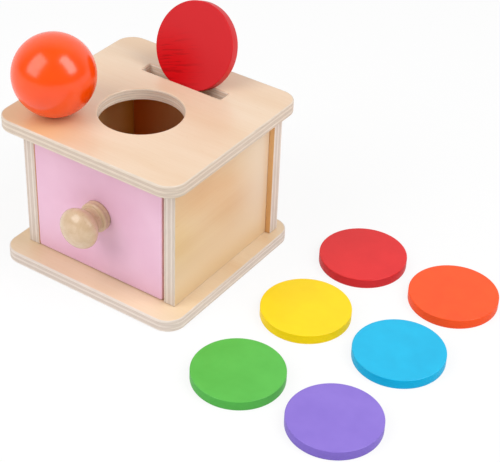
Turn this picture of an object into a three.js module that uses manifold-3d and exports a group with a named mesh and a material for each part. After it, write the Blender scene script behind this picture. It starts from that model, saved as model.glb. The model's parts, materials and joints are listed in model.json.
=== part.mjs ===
// Object permanence coin box: a plywood box with a ball hole and a coin slot in its top,
// a drawer that catches what drops through, a wooden ball and seven wooden coins.
// Millimetres, +Z up. The origin is the middle of the base's underside, and the drawer faces -Y.

import * as THREE from 'three';
import { mergeVertices } from 'three/addons/utils/BufferGeometryUtils.js';
import Module from 'manifold-3d';

// Plywood box
const plyThickness = 8;
const baseWidth = 132.4;
const baseDepth = 128.1;
const topWidth = 132.2;
const topDepth = 128.6;
const topSetback = 1.2; // from the base's front edge to the top's
const cornerRadius = 12;
const edgeRound = 0.8;
const clearHeight = 86; // from the base up to the underside of the top
const boxWidth = 112.8; // over the outer faces of the two sides
const sideDepth = 95.7;
const frontSetback = 15.45; // from the base's front edge to the front edges of the sides
const backOverhang = 3.6; // how far the back stands past the outer face of each side
const glueLine = 0.1;

// Dowels that hold the box's panels together
const dowelDiameter = 4;
const dowelInEdge = 11.5; // length in the panel whose edge is drilled
const dowelCover = 2.5; // wood left over the end of the hole in the panel whose face is drilled
const dowelClearance = 0.15;
const dowelEndClearance = 0.4;
const dowelMargin = 15; // from a side's front or rear edge
const backDowelMargin = 25; // from the back's left or right edge
const backDowelRise = 22; // from the base or the top to the dowels between a side and the back

// Ball and its hole
const ballDiameter = 50;
const holeClearance = 2;
const holeFromSlot = 13.4; // wood left between the hole and the coin slot
const holeShift = -0.4; // of the hole from the box's middle
const ballFromLeft = 27.1; // from the top's left edge to where the ball rests
const ballFromFront = 25;
const ballSeatGap = 0.2;

// Coins and their slot
const coinDiameter = 55;
const coinThickness = 6.4;
const coinEdgeRound = 0.5;
const slotLengthClearance = 5;
const slotWidthClearance = 2.5;
const slotFromBack = 9.4; // from the inner face of the back to the middle of the slot
const slotEndRound = 1.2;
const slotShift = -0.9; // of the slot from the box's middle
const slotCoinShift = 1.4; // of the leaning coin from the slot's middle
const coinLean = 24; // degrees that the coin in the slot leans back
const coinSlotGap = 0.2; // from the leaning coin to the slot's front wall and rear edge
const coinsFromBox = 23.7; // from the base's right edge to the nearer column of loose coins
const coinColumnGap = 9.5;
const farColumnShift = -0.7; // of the farther column towards the front
const rearRowGap = 11.4;
const frontRowGap = 15.6;
const middleRowShift = 0.6; // of the middle row from the base's middle

// Drawer
const drawerGap = 0.8; // between the drawer and each side of the box, with the drawer in the middle
const drawerShift = -0.5; // the loose drawer stands to the left of the middle
const drawerFrontGap = 0.5; // above and below the drawer's front
const drawerRecess = 0.1; // behind the front edges of the sides
const drawerFrontThickness = 8;
const drawerFrontRound = 0.7;
const drawerFrontCorner = 1.4;
const drawerSideThickness = 6;
const drawerBackThickness = 4;
const drawerBackGap = 0.8; // behind the drawer when it is shut
const drawerWallHeight = 25;
const drawerBottomThickness = 3;
const drawerBottomLift = 3; // from the lower edges of the drawer's sides up to its bottom
const grooveDepth = 3;
const grooveClearance = 0.15;
const runnerGap = 0.3; // under the drawer's sides
const drawerDowelDiameter = 3;
const drawerDowelInEdge = 10;
const drawerJointRise = 4.5; // from the top of the drawer's bottom to the lower dowels and pins
const drawerJointDrop = 5.5; // from the upper edges of the drawer's sides to the upper ones
const pinDiameter = 1.2;
const pinLength = 16;
const pinClearance = 0.1;
const pinEndClearance = 0.2;

// Turned knob, given by the distance from the drawer's front along its axis
const knobFromLeft = 47.85; // from the left edge of the drawer's front
const knobFromBottom = 42.3;
const knobLength = 25.4;
const collarDiameter = 19.4;
const collarThickness = 5;
const collarRound = 1.2;
const beadGrooveAt = 2.4;
const beadGrooveDepth = 0.5;
const neckDiameter = 14.8;
const neckAt = 8;
const headDiameter = 25.8;
const headAt = 17; // where the head is widest
const screwDiameter = 3.4;
const screwInKnob = 13;
const screwHeadDiameter = 7;
const screwHeadHeight = 2.2;
const screwClearance = 0.15;
const screwTip = 2.5;

// Facets of the round pieces
const arcSteps = 4;
const edgeSteps = 1;
const dowelSides = 12;
const pinSides = 8;
const coinSides = 36;
const knobSides = 24;
const ballSides = 28;
const ballRings = 18;

// Places worked out from the sizes above
const topUnder = plyThickness + clearHeight;
const topFace = topUnder + plyThickness;
const topY = -baseDepth / 2 + topSetback + topDepth / 2;
const panelHeight = clearHeight - 2 * glueLine;
const panelMiddle = plyThickness + clearHeight / 2;
const sideMiddleX = boxWidth / 2 - plyThickness / 2;
const sideFront = -baseDepth / 2 + frontSetback;
const sideRear = sideFront + sideDepth;
const backFront = sideRear + glueLine;
const backWidth = boxWidth + 2 * backOverhang;
const slotLength = coinDiameter + slotLengthClearance;
const slotWidth = coinThickness + slotWidthClearance;
const slotY = backFront - slotFromBack;
const holeDiameter = ballDiameter + holeClearance;
const holeY = slotY - slotWidth / 2 - holeFromSlot - holeDiameter / 2;
const drawerWidth = boxWidth - 2 * plyThickness - 2 * drawerGap;
const drawerFace = sideFront + drawerRecess;
const drawerInner = drawerFace + drawerFrontThickness;
const drawerRear = backFront - drawerBackGap;
const drawerFrontBottom = plyThickness + drawerFrontGap;
const drawerFrontHeight = clearHeight - 2 * drawerFrontGap;
const drawerSideBottom = plyThickness + runnerGap;
const drawerSideX = drawerWidth / 2 - drawerSideThickness / 2;
const drawerSideLength = drawerRear - drawerInner - glueLine;
const drawerSideY = drawerRear - drawerSideLength / 2;
const drawerInside = drawerWidth - 2 * drawerSideThickness;
const drawerBottomZ = drawerSideBottom + drawerBottomLift;
const drawerBackY = drawerRear - drawerBackThickness / 2;
const drawerJointHeights = {
  lower: drawerBottomZ + drawerBottomThickness + drawerJointRise,
  upper: drawerSideBottom + drawerWallHeight - drawerJointDrop,
};
const knobX = drawerShift - drawerWidth / 2 + knobFromLeft;
const knobZ = drawerFrontBottom + knobFromBottom;
const sides = { left: -1, right: 1 };

// Finishes
function finish(color, roughness, metalness = 0) {
  return new THREE.MeshStandardMaterial({ color, roughness, metalness });
}
const birchPly = finish(0xf0d4b4, 0.6);
const birchDowel = finish(0xe6cfa8, 0.7);
const pinkPaint = finish(0xe6b5ce, 0.45);
const lacqueredBeech = finish(0xe0bf98, 0.35);
const steel = finish(0xb8b8b4, 0.35, 1);
const orangeGloss = finish(0xff5a23, 0.15);
const coinPaints = {
  red: finish(0xe2494d, 0.5),
  orange: finish(0xff6c3f, 0.5),
  yellow: finish(0xfbdc33, 0.5),
  blue: finish(0x3fc4ef, 0.5),
  green: finish(0x6dc75e, 0.5),
  purple: finish(0x967dd9, 0.5),
};

const wasm = await Module();
wasm.setup();

// A closed geometry as a solid that can be cut.
function toSolid(geometry) {
  const bare = geometry.clone();
  bare.deleteAttribute('normal');
  bare.deleteAttribute('uv');
  const merged = mergeVertices(bare);
  const mesh = new wasm.Mesh({
    numProp: 3,
    vertProperties: new Float32Array(merged.attributes.position.array),
    triVerts: new Uint32Array(merged.index.array),
  });
  return new wasm.Manifold(mesh);
}

// Cuts tools, given in the box's frame, out of a geometry that stands at a place.
function cut(geometry, place, tools) {
  let solid = toSolid(geometry);
  for (const tool of tools) {
    const moved = tool.clone().translate(-place.x, -place.y, -place.z);
    solid = solid.subtract(toSolid(moved));
  }
  const mesh = solid.getMesh();
  const result = new THREE.BufferGeometry();
  result.setAttribute('position', new THREE.BufferAttribute(mesh.vertProperties, 3));
  result.setIndex(new THREE.BufferAttribute(mesh.triVerts, 1));
  result.computeVertexNormals();
  return result;
}

function addPiece(group, name, geometry, material, place) {
  const mesh = new THREE.Mesh(geometry, material);
  mesh.name = name;
  mesh.position.copy(place);
  group.add(mesh);
  return mesh;
}

// Draws a rectangle with round corners about a middle.
function roundedOutline(path, width, depth, radius, middleX = 0, middleY = 0) {
  const left = middleX - width / 2 + radius;
  const right = middleX + width / 2 - radius;
  const front = middleY - depth / 2 + radius;
  const rear = middleY + depth / 2 - radius;
  path.absarc(right, front, radius, -Math.PI / 2, 0);
  path.absarc(right, rear, radius, 0, Math.PI / 2);
  path.absarc(left, rear, radius, Math.PI / 2, Math.PI);
  path.absarc(left, front, radius, Math.PI, Math.PI * 1.5);
  path.closePath();
  return path;
}

// A board with rounded edges, lying on z = 0.
function roundedBoard(width, depth, thickness, radius, round, openings = []) {
  const shape = roundedOutline(new THREE.Shape(), width, depth, radius);
  shape.holes.push(...openings);
  const board = new THREE.ExtrudeGeometry(shape, {
    depth: thickness - 2 * round,
    bevelThickness: round,
    bevelSize: round,
    bevelOffset: -round,
    bevelSegments: edgeSteps,
    curveSegments: arcSteps,
  });
  return board.translate(0, 0, round);
}

// A round bar about the origin, along a unit direction.
function roundBar(diameter, length, direction, barSides) {
  const bar = new THREE.CylinderGeometry(diameter / 2, diameter / 2, length, barSides);
  const turn = new THREE.Quaternion().setFromUnitVectors(new THREE.Vector3(0, 1, 0), direction);
  return bar.applyQuaternion(turn);
}

// A dowel across a joint: it goes inFace deep the way that intoFace points, and inEdge deep the other way.
function dowelAt(name, joint, intoFace, diameter, inFace, inEdge) {
  const length = inFace + inEdge;
  const place = joint.clone().addScaledVector(intoFace, (inFace - inEdge) / 2);
  const hole = roundBar(
    diameter + 2 * dowelClearance,
    length + 2 * dowelEndClearance,
    intoFace,
    dowelSides,
  );
  hole.translate(place.x, place.y, place.z);
  return { name, place, hole, geometry: roundBar(diameter, length, intoFace, dowelSides) };
}

// Dowels of the box
const up = new THREE.Vector3(0, 0, 1);
const down = new THREE.Vector3(0, 0, -1);
const forward = new THREE.Vector3(0, -1, 0);
const rearward = new THREE.Vector3(0, 1, 0);
const dowelInFace = plyThickness - dowelCover - dowelEndClearance;
const boxDowels = [];

function addBoxDowel(name, joint, intoFace) {
  boxDowels.push(dowelAt(name, joint, intoFace, dowelDiameter, dowelInFace, dowelInEdge));
}

for (const [side, sign] of Object.entries(sides)) {
  const x = sign * sideMiddleX;
  const places = { front: sideFront + dowelMargin, rear: sideRear - dowelMargin };
  for (const [end, y] of Object.entries(places)) {
    addBoxDowel(`top_dowel_${side}_${end}`, new THREE.Vector3(x, y, topUnder), up);
    addBoxDowel(`base_dowel_${side}_${end}`, new THREE.Vector3(x, y, plyThickness), down);
  }
  const rises = { lower: plyThickness + backDowelRise, upper: topUnder - backDowelRise };
  for (const [level, z] of Object.entries(rises)) {
    addBoxDowel(`back_dowel_${side}_${level}`, new THREE.Vector3(x, backFront, z), rearward);
  }
  const backX = sign * (backWidth / 2 - backDowelMargin);
  const backY = backFront + plyThickness / 2;
  addBoxDowel(`back_dowel_${side}_top`, new THREE.Vector3(backX, backY, topUnder), up);
  addBoxDowel(`back_dowel_${side}_base`, new THREE.Vector3(backX, backY, plyThickness), down);
}
const boxHoles = boxDowels.map((dowel) => dowel.hole);

// Plywood box: base, top with its hole and slot, two sides and a back
const box = new THREE.Group();

const basePlace = new THREE.Vector3(0, 0, 0);
const baseBoard = roundedBoard(baseWidth, baseDepth, plyThickness, cornerRadius, edgeRound);
addPiece(box, 'base_panel', cut(baseBoard, basePlace, boxHoles), birchPly, basePlace);

const topPlace = new THREE.Vector3(0, topY, topUnder);
const holeRadius = holeDiameter / 2;
const holePath = new THREE.Path();
const ballHole = roundedOutline(holePath, holeDiameter, holeDiameter, holeRadius, holeShift, holeY - topY);
const slotPath = new THREE.Path();
const coinSlot = roundedOutline(slotPath, slotLength, slotWidth, slotEndRound, slotShift, slotY - topY);
const topOpenings = [ballHole, coinSlot];
const topBoard = roundedBoard(topWidth, topDepth, plyThickness, cornerRadius, edgeRound, topOpenings);
addPiece(box, 'top_panel', cut(topBoard, topPlace, boxHoles), birchPly, topPlace);

for (const [side, sign] of Object.entries(sides)) {
  const place = new THREE.Vector3(sign * sideMiddleX, sideFront + sideDepth / 2, panelMiddle);
  const board = new THREE.BoxGeometry(plyThickness, sideDepth, panelHeight);
  addPiece(box, `${side}_side_panel`, cut(board, place, boxHoles), birchPly, place);
}

const backPlace = new THREE.Vector3(0, backFront + plyThickness / 2, panelMiddle);
const backBoard = new THREE.BoxGeometry(backWidth, plyThickness, panelHeight);
addPiece(box, 'back_panel', cut(backBoard, backPlace, boxHoles), birchPly, backPlace);

for (const dowel of boxDowels) {
  addPiece(box, dowel.name, dowel.geometry, birchDowel, dowel.place);
}

// Drawer: a painted front, two grooved sides, a back between them and a thin bottom in the grooves
const drawer = new THREE.Group();

const drawerDowels = [];
const drawerPins = [];
for (const [side, sign] of Object.entries(sides)) {
  const outward = new THREE.Vector3(sign, 0, 0);
  for (const [level, z] of Object.entries(drawerJointHeights)) {
    const joint = new THREE.Vector3(drawerShift + sign * drawerSideX, drawerInner, z);
    const inFront = drawerFrontThickness - dowelCover - dowelEndClearance;
    const name = `drawer_dowel_${side}_${level}`;
    drawerDowels.push(dowelAt(name, joint, forward, drawerDowelDiameter, inFront, drawerDowelInEdge));
    const pinX = drawerShift + sign * (drawerWidth / 2 - pinClearance - pinLength / 2);
    const place = new THREE.Vector3(pinX, drawerBackY, z);
    const hole = roundBar(
      pinDiameter + 2 * pinClearance,
      pinLength + 2 * pinEndClearance,
      outward,
      pinSides,
    );
    hole.translate(place.x, place.y, place.z);
    const geometry = roundBar(pinDiameter, pinLength, outward, pinSides);
    drawerPins.push({ name: `drawer_pin_${side}_${level}`, place, hole, geometry });
  }
}
const drawerHoles = [...drawerDowels, ...drawerPins].map((piece) => piece.hole);

const bottomReach = grooveDepth - grooveClearance;
const bottomWidth = drawerInside + 2 * bottomReach;
const bottomDepth = drawerRear - drawerInner + bottomReach;
const grooveHeight = drawerBottomThickness + 2 * grooveClearance;
const bottomPlace = new THREE.Vector3(
  drawerShift,
  drawerRear - bottomDepth / 2,
  drawerBottomZ + drawerBottomThickness / 2,
);
const grooveWidth = drawerInside + 2 * grooveDepth;
const grooveLength = bottomDepth + 2 * grooveClearance;
const bottomGroove = new THREE.BoxGeometry(grooveWidth, grooveLength, grooveHeight);
bottomGroove.translate(bottomPlace.x, bottomPlace.y, bottomPlace.z);

const screwFromHead = drawerFrontThickness + screwInKnob;
const screwHoleDiameter = screwDiameter + 2 * screwClearance;
const screwHole = roundBar(screwHoleDiameter, 2 * drawerFrontThickness, forward, dowelSides);
screwHole.translate(knobX, drawerFace + drawerFrontThickness / 2, knobZ);

const frontMiddleZ = drawerFrontBottom + drawerFrontHeight / 2;
const frontPlace = new THREE.Vector3(drawerShift, drawerInner, frontMiddleZ);
const frontBoard = roundedBoard(
  drawerWidth,
  drawerFrontHeight,
  drawerFrontThickness,
  drawerFrontCorner,
  drawerFrontRound,
);
frontBoard.rotateX(Math.PI / 2);
const frontCuts = [...drawerHoles, bottomGroove, screwHole];
addPiece(drawer, 'drawer_front', cut(frontBoard, frontPlace, frontCuts), pinkPaint, frontPlace);

for (const [side, sign] of Object.entries(sides)) {
  const x = drawerShift + sign * drawerSideX;
  const place = new THREE.Vector3(x, drawerSideY, drawerSideBottom + drawerWallHeight / 2);
  const board = new THREE.BoxGeometry(drawerSideThickness, drawerSideLength, drawerWallHeight);
  const sideCuts = [...drawerHoles, bottomGroove];
  addPiece(drawer, `drawer_${side}_side`, cut(board, place, sideCuts), birchPly, place);
}

const drawerBackBottom = drawerBottomZ + drawerBottomThickness + grooveClearance;
const drawerBackHeight = drawerSideBottom + drawerWallHeight - drawerBackBottom;
const drawerBackMiddle = drawerBackBottom + drawerBackHeight / 2;
const drawerBackPlace = new THREE.Vector3(drawerShift, drawerBackY, drawerBackMiddle);
const drawerBackWidth = drawerInside - 2 * glueLine;
const backWall = new THREE.BoxGeometry(drawerBackWidth, drawerBackThickness, drawerBackHeight);
addPiece(drawer, 'drawer_back', cut(backWall, drawerBackPlace, drawerHoles), birchPly, drawerBackPlace);

const bottomBoard = new THREE.BoxGeometry(bottomWidth, bottomDepth, drawerBottomThickness);
addPiece(drawer, 'drawer_bottom', bottomBoard, birchPly, bottomPlace);

for (const dowel of drawerDowels) {
  addPiece(drawer, dowel.name, dowel.geometry, birchDowel, dowel.place);
}
for (const pin of drawerPins) {
  addPiece(drawer, pin.name, pin.geometry, steel, pin.place);
}

// Knob: a collar with a bead groove, a waisted neck and a flattened ball head, bored for its screw
const boreRadius = screwDiameter / 2 + screwClearance;
const boreDepth = screwInKnob + 2 * screwClearance;
const collarRadius = collarDiameter / 2;
const headRadius = headDiameter / 2;
const neckRadius = neckDiameter / 2;
const knobProfile = new THREE.Path();
knobProfile.moveTo(0, boreDepth);
knobProfile.lineTo(boreRadius, boreDepth);
knobProfile.lineTo(boreRadius, 0);
knobProfile.lineTo(collarRadius, 0);
knobProfile.lineTo(collarRadius, beadGrooveAt - beadGrooveDepth);
knobProfile.lineTo(collarRadius - beadGrooveDepth, beadGrooveAt);
knobProfile.lineTo(collarRadius, beadGrooveAt + beadGrooveDepth);
knobProfile.lineTo(collarRadius, collarThickness - collarRound);
knobProfile.quadraticCurveTo(collarRadius, collarThickness, collarRadius - collarRound, collarThickness);
knobProfile.quadraticCurveTo(neckRadius, collarThickness, neckRadius, neckAt);
const flareAt = (neckAt + headAt) / 2;
knobProfile.bezierCurveTo(neckRadius, flareAt, headRadius, flareAt, headRadius, headAt);
knobProfile.absellipse(0, headAt, headRadius, knobLength - headAt, 0, Math.PI / 2);
const knobGeometry = new THREE.LatheGeometry(knobProfile.getPoints(arcSteps), knobSides);
const knobPlace = new THREE.Vector3(knobX, drawerFace - glueLine, knobZ);
const knob = addPiece(drawer, 'drawer_knob', knobGeometry, lacqueredBeech, knobPlace);
knob.rotation.z = Math.PI;

const screwRadius = screwDiameter / 2;
const screwProfile = [
  new THREE.Vector2(0, -screwHeadHeight),
  new THREE.Vector2(screwHeadDiameter / 2 - screwHeadHeight / 2, -screwHeadHeight),
  new THREE.Vector2(screwHeadDiameter / 2, -screwHeadHeight / 2),
  new THREE.Vector2(screwHeadDiameter / 2, 0),
  new THREE.Vector2(screwRadius, 0),
  new THREE.Vector2(screwRadius, screwFromHead - screwTip),
  new THREE.Vector2(0, screwFromHead),
];
const screwPlace = new THREE.Vector3(knobX, drawerInner + glueLine, knobZ);
const screwGeometry = new THREE.LatheGeometry(screwProfile, dowelSides);
const screw = addPiece(drawer, 'knob_screw', screwGeometry, steel, screwPlace);
screw.rotation.z = Math.PI;

// Set pieces: the ball, the coin that leans back in the slot, and six loose coins beside the box
const set = new THREE.Group();

const ballGeometry = new THREE.SphereGeometry(ballDiameter / 2, ballSides, ballRings);
ballGeometry.rotateX(Math.PI / 2);
const ballPlace = new THREE.Vector3(
  -topWidth / 2 + ballFromLeft,
  topY - topDepth / 2 + ballFromFront,
  topFace + ballSeatGap + ballDiameter / 2,
);
addPiece(set, 'ball', ballGeometry, orangeGloss, ballPlace);

// A coin lying flat, with its middle at the origin.
function coinGeometry() {
  const inner = coinDiameter / 2 - coinEdgeRound;
  const edge = coinThickness / 2 - coinEdgeRound;
  const profile = new THREE.Path();
  profile.moveTo(0, -coinThickness / 2);
  profile.lineTo(inner, -coinThickness / 2);
  profile.absarc(inner, -edge, coinEdgeRound, -Math.PI / 2, 0);
  profile.absarc(inner, edge, coinEdgeRound, 0, Math.PI / 2);
  profile.lineTo(0, coinThickness / 2);
  return new THREE.LatheGeometry(profile.getPoints(edgeSteps), coinSides).rotateX(Math.PI / 2);
}

// The leaning coin's foot stands between the slot's front wall and its rear upper edge.
const lean = THREE.MathUtils.degToRad(coinLean);
const leanUp = new THREE.Vector3(0, Math.sin(lean), Math.cos(lean));
const leanFace = new THREE.Vector3(0, -Math.cos(lean), Math.sin(lean));
const footWidth = coinThickness * Math.cos(lean);
const footDepth = (slotWidth - 2 * coinSlotGap - footWidth) / Math.tan(lean);
const footY = slotY - slotWidth / 2 + coinSlotGap + footWidth;
const slotCoinPlace = new THREE.Vector3(slotShift + slotCoinShift, footY, topFace - footDepth);
slotCoinPlace.addScaledVector(leanFace, coinThickness / 2);
slotCoinPlace.addScaledVector(leanUp, coinDiameter / 2);
const slotCoin = addPiece(set, 'slot_coin_red', coinGeometry(), coinPaints.red, slotCoinPlace);
slotCoin.rotation.x = Math.PI / 2 - lean;

const nearColumn = baseWidth / 2 + coinsFromBox + coinDiameter / 2;
const farColumn = nearColumn + coinDiameter + coinColumnGap;
const rearRow = middleRowShift + coinDiameter + rearRowGap;
const frontRow = middleRowShift - coinDiameter - frontRowGap;
const coinPlaces = {
  red: [nearColumn, rearRow],
  orange: [farColumn, rearRow + farColumnShift],
  yellow: [nearColumn, middleRowShift],
  blue: [farColumn, middleRowShift + farColumnShift],
  green: [nearColumn, frontRow],
  purple: [farColumn, frontRow + farColumnShift],
};
for (const [colour, [x, y]] of Object.entries(coinPlaces)) {
  const place = new THREE.Vector3(x, y, coinThickness / 2);
  addPiece(set, `coin_${colour}`, coinGeometry(), coinPaints[colour], place);
}

const coinBox = new THREE.Group();
coinBox.add(box, drawer, set);

export default coinBox;
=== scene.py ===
# Object permanence coin box: a plywood box that takes a ball and coins through its top,
# with a pink drawer that gives them back, an orange ball and seven painted coins.
# Metres in the frame's axes: +Z is up and the drawer faces -Y.

import json
import math

import bmesh
import bpy
from mathutils import Matrix, Vector
from mathutils.geometry import interpolate_bezier


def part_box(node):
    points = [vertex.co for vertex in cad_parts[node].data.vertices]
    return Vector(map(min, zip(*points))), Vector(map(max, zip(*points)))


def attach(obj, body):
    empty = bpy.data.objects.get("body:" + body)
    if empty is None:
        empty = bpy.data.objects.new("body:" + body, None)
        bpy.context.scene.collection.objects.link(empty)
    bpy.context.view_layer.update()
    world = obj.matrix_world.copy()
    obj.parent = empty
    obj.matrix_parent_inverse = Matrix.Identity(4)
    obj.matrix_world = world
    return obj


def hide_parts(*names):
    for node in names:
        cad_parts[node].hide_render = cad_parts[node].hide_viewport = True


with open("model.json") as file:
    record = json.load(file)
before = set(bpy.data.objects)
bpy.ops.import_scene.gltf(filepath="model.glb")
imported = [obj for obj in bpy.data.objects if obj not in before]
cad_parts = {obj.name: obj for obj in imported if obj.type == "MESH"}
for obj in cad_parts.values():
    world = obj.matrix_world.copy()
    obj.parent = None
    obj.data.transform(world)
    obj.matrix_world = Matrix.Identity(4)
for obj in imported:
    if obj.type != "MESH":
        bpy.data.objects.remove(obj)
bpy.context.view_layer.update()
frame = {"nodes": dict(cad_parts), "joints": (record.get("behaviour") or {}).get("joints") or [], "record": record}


# Base panel
# An 8 mm birch plywood board with round corners, sanded soft along its edges and lacquered.
# The sides and the back stand on it, held by glued dowels.

MM = 0.001
X, Y, Z = range(3)
QUARTER_TURN = math.pi / 2
BASE_CORNER = 12 * MM
CORNER_STEPS = 12
BOARD_ROUND = 0.8 * MM
BOARD_ROUND_STEPS = 3

# The least that a face's normal has along the thickness, for the face to count as flat and as a cap
FLAT_NORMAL = 0.5
CAP_NORMAL = 0.9

# Places in a piece's list of materials
FACE_MATERIAL = 0
EDGE_MATERIAL = 1
INNER_MATERIAL = 2

# Places of a Mix node's sockets where it mixes colours
MIX_SHARE = 0
MIX_FIRST = 6
MIX_SECOND = 7
MIX_RESULT = 2

# Birch veneer, with sizes in millimetres; its lines and flecks are drawn as coarse as they need to show
BASE_TONES = ("#E6C8A2", "#E9CEAB", "#ECD4B4")
VENEER_FLECK = "#D3A97C"
FIGURE_ACROSS = 22
FIGURE_ALONG = 110
LINE_ACROSS = 0.9
LINE_ALONG = 26
FLECK_ACROSS = 0.7
FLECK_ALONG = 5
LINE_SHARE = 0.35
TONE_STOPS = (0.48, 0.66, 0.86)
FLECK_START = 0.70
FLECK_FULL = 0.80
FLECK_SHARE = 0.4
VENEER_SMOOTHEST = 0.36
VENEER_ROUGHEST = 0.44
VENEER_BUMP = 0.25
GRAIN_RELIEF = 0.02 * MM
WOOD_IOR = 1.5
LACQUER = 0.65
NO_LACQUER = 0.0
LACQUER_ROUGHNESS = 0.28

# Cut edges of plywood: streaks in millimetres, and plies and glue as shares of the thickness
PLY_LONG_GRAIN = "#E4D7CC"
PLY_END_GRAIN = "#D5C5B8"
PLY_GLUE = "#BDA999"
PLY_STREAK_THICKNESS = 0.4
PLY_STREAK_LENGTH = 7
PLY_WANDER = 0.02
PLY_SHARES = (0.20, 0.19, 0.22, 0.19, 0.20)
GLUE_SHARE = 0.015
PLY_DARKEST = 0.84
PLY_PALEST = 1.12
PLY_BUMP = 0.3
PLY_ROUGHNESS = 0.5


def linear(hex_colour):
    """An sRGB hex colour as linear RGBA."""
    parts = [int(hex_colour[start:start + 2], 16) / 255 for start in (1, 3, 5)]
    return [part / 12.92 if part <= 0.04045 else ((part + 0.055) / 1.055) ** 2.4 for part in parts] + [1]


def feed(node, inputs):
    """Sets a node's inputs to values, or links them to other nodes' sockets."""
    for name, value in inputs.items():
        if isinstance(value, bpy.types.NodeSocket):
            node.id_data.links.new(value, node.inputs[name])
        else:
            node.inputs[name].default_value = value


def add_node(tree, kind, inputs=None, stops=None, **settings):
    """Adds a node with its settings, its inputs and its ramp's stops."""
    node = tree.nodes.new(kind)
    for name, value in settings.items():
        setattr(node, name, value)
    feed(node, inputs or {})
    if stops:
        ramp = node.color_ramp.elements
        ramp[0].position, ramp[0].color = stops[0]
        ramp[1].position, ramp[1].color = stops[-1]
        for place, colour in stops[1:-1]:
            ramp.new(place).color = colour
    return node


def dress(material, **inputs):
    """Sets or links inputs of a material's shader, written with _ for each space."""
    shader = material.node_tree.nodes["Principled BSDF"]
    feed(shader, {name.replace("_", " "): value for name, value in inputs.items()})


def blank_material(name):
    """A new material, its nodes and its object coordinates."""
    material = bpy.data.materials.new(name)
    material.use_nodes = True
    coordinates = add_node(material.node_tree, "ShaderNodeTexCoord").outputs["Object"]
    return material, material.node_tree, coordinates


def grain_noise(tree, coordinates, across, along, grain, detail):
    """Noise with spots of these sizes in millimetres, across and along one axis."""
    scale = [1 / (across * MM)] * 3
    scale[grain] = 1 / (along * MM)
    stretched = add_node(tree, "ShaderNodeMapping", {"Vector": coordinates, "Scale": scale})
    return add_node(tree, "ShaderNodeTexNoise", {
        "Vector": stretched.outputs["Vector"], "Scale": 1, "Detail": detail,
    }).outputs["Fac"]


def birch_veneer(name, grain, tones, fleck_tone, lacquer):
    """Rotary-cut birch: a faint broad figure, fine lines and short flecks, under lacquer or bare."""
    material, tree, coordinates = blank_material(name)
    figure = grain_noise(tree, coordinates, FIGURE_ACROSS, FIGURE_ALONG, grain, detail=3)
    lines = grain_noise(tree, coordinates, LINE_ACROSS, LINE_ALONG, grain, detail=2)
    flecks = grain_noise(tree, coordinates, FLECK_ACROSS, FLECK_ALONG, grain, detail=1)
    mixed = add_node(tree, "ShaderNodeMath", {
        0: lines, 1: LINE_SHARE, 2: figure,
    }, operation="MULTIPLY_ADD")
    tone = add_node(tree, "ShaderNodeValToRGB", {"Fac": mixed.outputs[0]}, [
        (stop, linear(colour)) for stop, colour in zip(TONE_STOPS, tones)
    ])
    fleck = add_node(tree, "ShaderNodeMapRange", {
        "Value": flecks, "From Min": FLECK_START, "From Max": FLECK_FULL, "To Max": FLECK_SHARE,
    })
    colour = add_node(tree, "ShaderNodeMix", {
        MIX_SHARE: fleck.outputs["Result"], MIX_FIRST: tone.outputs["Color"], MIX_SECOND: linear(fleck_tone),
    }, data_type="RGBA")
    gloss = add_node(tree, "ShaderNodeMapRange", {
        "Value": figure, "To Min": VENEER_SMOOTHEST, "To Max": VENEER_ROUGHEST,
    })
    relief = add_node(tree, "ShaderNodeBump", {
        "Height": lines, "Strength": VENEER_BUMP, "Distance": GRAIN_RELIEF,
    })
    dress(
        material,
        Base_Color=colour.outputs[MIX_RESULT],
        Roughness=gloss.outputs["Result"],
        Normal=relief.outputs["Normal"],
        IOR=WOOD_IOR,
        Coat_Weight=lacquer,
        Coat_Roughness=LACQUER_ROUGHNESS,
    )
    return material


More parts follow.
